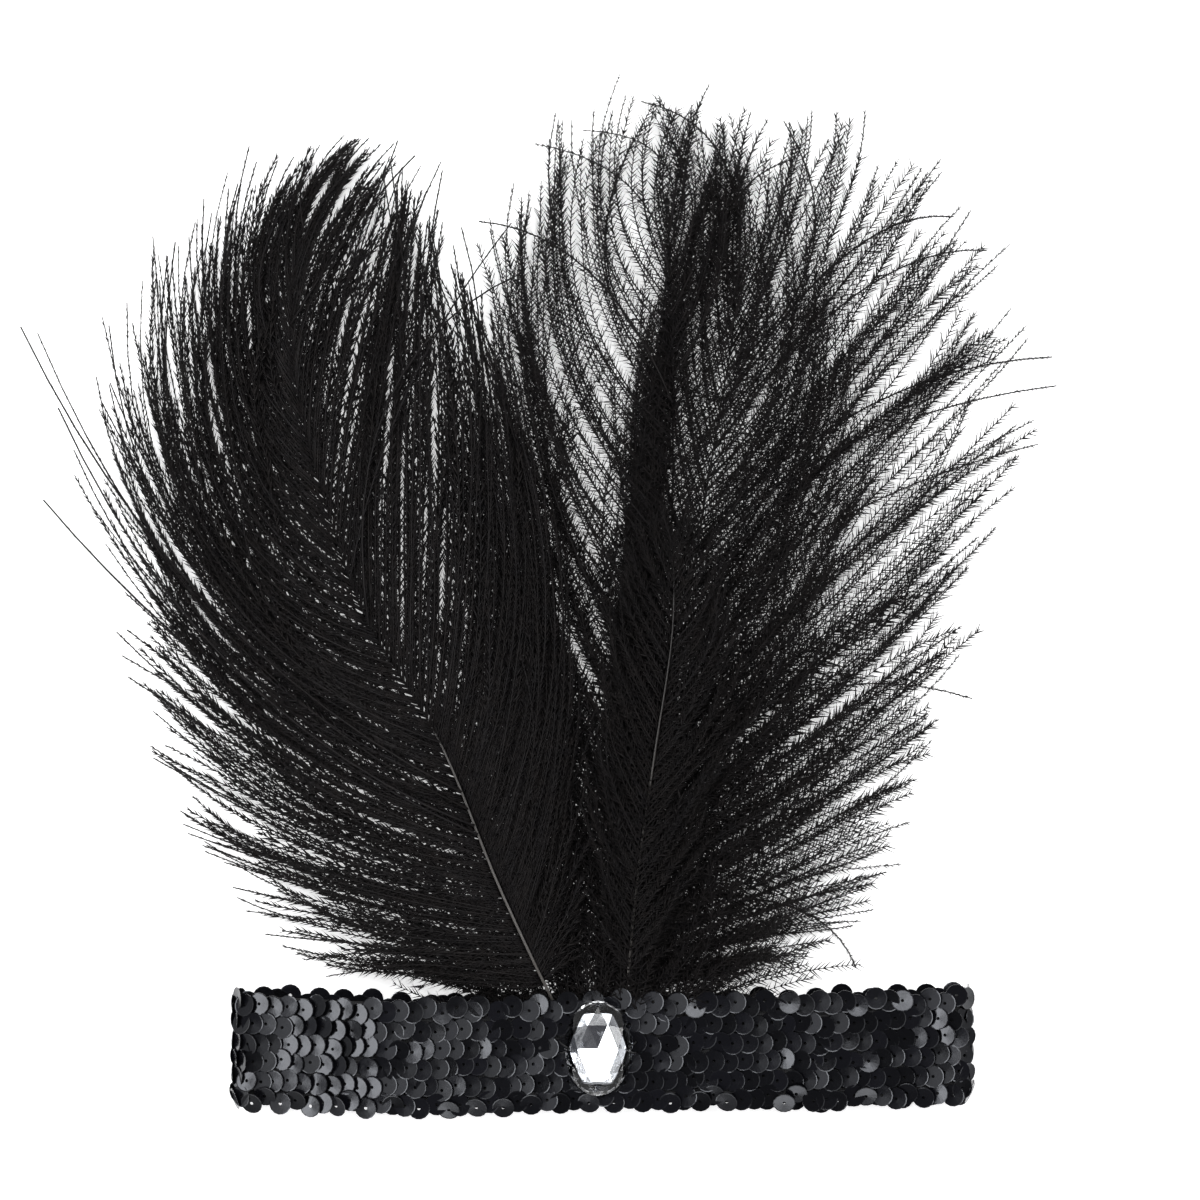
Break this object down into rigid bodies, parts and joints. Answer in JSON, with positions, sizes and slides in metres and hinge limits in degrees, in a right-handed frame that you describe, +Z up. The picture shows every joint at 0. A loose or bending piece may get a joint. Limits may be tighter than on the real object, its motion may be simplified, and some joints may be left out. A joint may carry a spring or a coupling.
{
  "type": "flapper feather headband",
  "caption": "Stretch headband covered in overlapping sequins, lying flat, with an oval faceted stone at its middle and tall ostrich-type plumes fanning up behind it.",
  "frame": {"origin": "on the resting face of the band, below the stone", "axes": "+X along the band to its right end, +Y from the band to the tips of the plumes, +Z up from the resting face, out of the front of the stone"},
  "size_m": [0.263, 0.2761, 0.0179],
  "materials": {
    "band_fabric": "black elastic knit",
    "sequins": "glossy black film with a grey-blue sheen",
    "stone": "clear acrylic with cut facets and a silver foil back",
    "plume": "dyed black feather, soft, slightly brown and blue in the light"
  },
  "bodies": {
    "root": {"stretch_band": "band_fabric", "sequin_cover": "sequins", "centre_stone": "stone", "left_plume": "plume", "middle_plume": "plume", "right_plume": "plume", "short_plume": "plume"}
  },
  "joints": []
}
